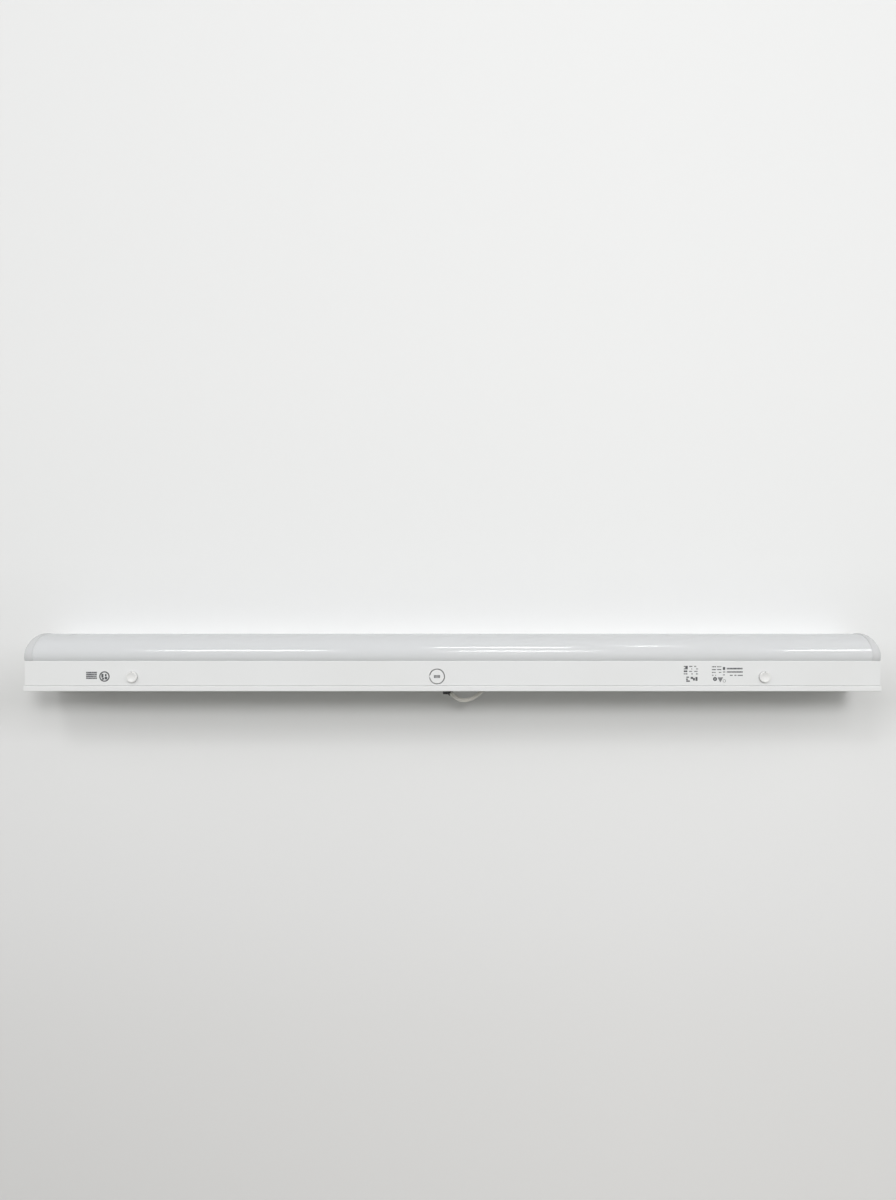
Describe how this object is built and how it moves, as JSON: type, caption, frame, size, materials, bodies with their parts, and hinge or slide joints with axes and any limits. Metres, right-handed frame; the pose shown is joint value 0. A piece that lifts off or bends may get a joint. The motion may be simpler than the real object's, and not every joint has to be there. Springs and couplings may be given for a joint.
{
  "type": "led strip batten",
  "caption": "Surface-mount LED strip batten: white folded-steel channel and lift-off gear tray with a frosted domed diffuser, end caps and quarter-turn latches.",
  "frame": {"origin": "centre of the mounting face, on the line of the two ceiling screw holes", "axes": "+X along the batten, +Z out of the diffuser away from the mounting face, -Y the side with the front knockout"},
  "size_m": [1.2232, 0.116, 0.1024],
  "materials": {
    "powder_coat": "powder-coated white, semi-gloss with fine orange peel",
    "end_plate_coat": "powder-coated white",
    "zinc_steel": "zinc-plated pressed steel",
    "zinc_screws": "bright zinc-plated",
    "rivet_alloy": "drawn aluminium",
    "frosted_lens": "frosted translucent acrylic with a satin gloss",
    "cap_plastic": "moulded frosted acrylic, satin",
    "latch_plastic": "moulded warm-white nylon",
    "black_nylon": "moulded black nylon",
    "black_rubber": "moulded rubber",
    "cord_jacket": "flexible PVC jacket, grey-beige",
    "lead_insulation": "PVC-insulated conductors in several colours",
    "white_nylon": "moulded natural nylon",
    "ground_green": "green chromate",
    "lug_brass": "tinned brass",
    "driver_steel": "white-painted pressed steel",
    "circuit_board": "solder-masked glass laminate",
    "ferrite": "ferrite core and varnished winding",
    "capacitor_sleeve": "heat-shrunk sleeve",
    "coil_wire": "varnished copper wire",
    "switch_plastic": "moulded switch body",
    "board_white": "white solder mask on aluminium",
    "led_phosphor": "moulded package with yellow phosphor",
    "print_ink": "pad-printed dark grey ink marks, matt"
  },
  "bodies": {
    "root": {"mounting_channel": "powder_coat", "rail_right": "powder_coat", "rail_left": "powder_coat", "rail_rear": "powder_coat", "rail_front": "powder_coat", "latch_keepers": "zinc_steel", "keeper_rivets": "rivet_alloy", "strain_relief": "black_nylon", "snap_bushing": "black_nylon", "supply_cord": "cord_jacket", "cord_tail_leads": "lead_insulation", "supply_leads": "lead_insulation", "disconnect_plug": "white_nylon", "disconnect_socket": "white_nylon", "driver_leads": "lead_insulation", "ground_screw": "ground_green", "ground_lug": "lug_brass", "driver_case": "driver_steel", "driver_lid": "driver_steel", "driver_board": "circuit_board", "driver_standoffs": "white_nylon", "driver_transformer": "ferrite", "driver_capacitors": "capacitor_sleeve", "driver_coils": "coil_wire", "input_terminal": "white_nylon", "output_terminal": "white_nylon", "driver_screws": "zinc_screws", "lid_screws": "zinc_screws", "selector_body": "switch_plastic", "output_leads": "lead_insulation"},
    "tray": {"gear_tray": "powder_coat", "tray_side_rear": "powder_coat", "tray_side_front": "powder_coat", "end_plate_left": "end_plate_coat", "end_plate_right": "end_plate_coat", "lead_grommet": "black_rubber", "latch_washers": "zinc_steel", "led_board_left": "board_white", "led_board_right": "board_white", "leds_left": "led_phosphor", "leds_right": "led_phosphor", "board_screws": "zinc_screws", "board_connectors": "white_nylon", "link_leads": "lead_insulation", "lens": "frosted_lens", "end_cap_left": "cap_plastic", "end_cap_right": "cap_plastic", "cap_screws": "zinc_screws"},
    "latch_front_left": {"latch_front_left": "latch_plastic"},
    "latch_front_right": {"latch_front_right": "latch_plastic"},
    "latch_rear_left": {"latch_rear_left": "latch_plastic"},
    "latch_rear_right": {"latch_rear_right": "latch_plastic"},
    "lumen_selector": {"lumen_selector": "white_nylon"},
    "cct_selector": {"cct_selector": "white_nylon"}
  },
  "joints": [
    {"name": "tray_lift", "type": "slide", "parent": "root", "child": "tray", "axis": [0, 0, 1], "range_m": [0, 0.08], "deforming": ["output_leads"]},
    {"name": "front_left_latch_turn", "type": "hinge", "parent": "tray", "child": "latch_front_left", "pos_m": [-0.4566, -0.054, 0.0204], "axis": [0, 1, 0], "range_deg": [0, 90]},
    {"name": "front_right_latch_turn", "type": "hinge", "parent": "tray", "child": "latch_front_right", "pos_m": [0.4446, -0.054, 0.0204], "axis": [0, 1, 0], "range_deg": [0, 90]},
    {"name": "rear_left_latch_turn", "type": "hinge", "parent": "tray", "child": "latch_rear_left", "pos_m": [-0.4566, 0.054, 0.0204], "axis": [0, -1, 0], "range_deg": [0, 90]},
    {"name": "rear_right_latch_turn", "type": "hinge", "parent": "tray", "child": "latch_rear_right", "pos_m": [0.4446, 0.054, 0.0204], "axis": [0, -1, 0], "range_deg": [0, 90]},
    {"name": "lumen_select", "type": "slide", "parent": "root", "child": "lumen_selector", "axis": [1, 0, 0], "range_m": [-0.0025, 0.0025]},
    {"name": "cct_select", "type": "slide", "parent": "root", "child": "cct_selector", "axis": [1, 0, 0], "range_m": [-0.0025, 0.0025]}
  ]
}
